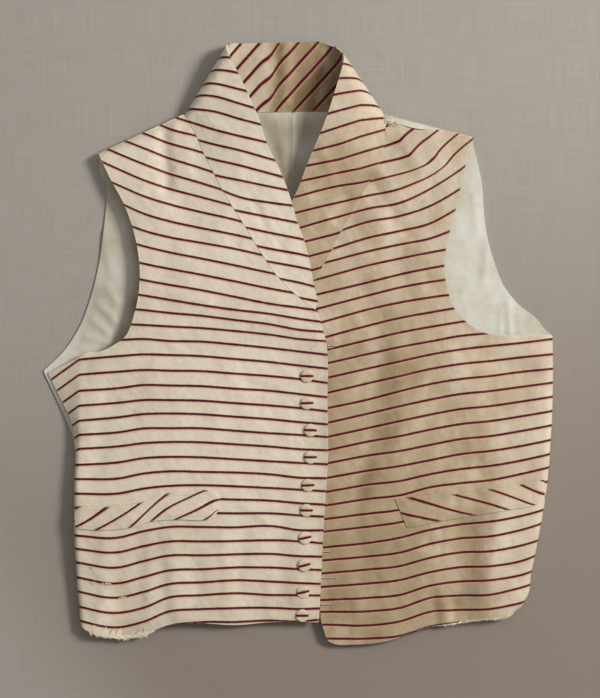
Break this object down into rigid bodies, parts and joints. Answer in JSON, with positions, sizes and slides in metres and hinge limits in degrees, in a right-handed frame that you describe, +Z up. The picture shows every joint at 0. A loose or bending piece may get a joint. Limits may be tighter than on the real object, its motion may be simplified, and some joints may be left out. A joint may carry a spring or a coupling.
{
  "type": "waistcoat",
  "caption": "Man's striped silk waistcoat with a tall collar, covered buttons and two welt pockets, laid flat on its back.",
  "frame": {"origin": "middle of the bounding box at the board that the waistcoat lies on", "axes": "+X to the wearer's left, +Y towards the collar, +Z up from the board"},
  "size_m": [0.5116, 0.6048, 0.0328],
  "materials": {
    "striped_silk": "cream silk with narrow woven maroon stripes, soft sheen",
    "plain_cotton": "plain off-white cotton, matt"
  },
  "bodies": {
    "root": {"right_front": "striped_silk", "left_front": "striped_silk", "collar": "striped_silk", "right_pocket_welt": "striped_silk", "left_pocket_welt": "striped_silk", "back_right": "plain_cotton", "back_left": "plain_cotton", "button_01": "striped_silk", "button_02": "striped_silk", "button_03": "striped_silk", "button_04": "striped_silk", "button_05": "striped_silk", "button_06": "striped_silk", "button_07": "striped_silk", "button_08": "striped_silk", "button_09": "striped_silk", "button_10": "striped_silk"}
  },
  "joints": []
}
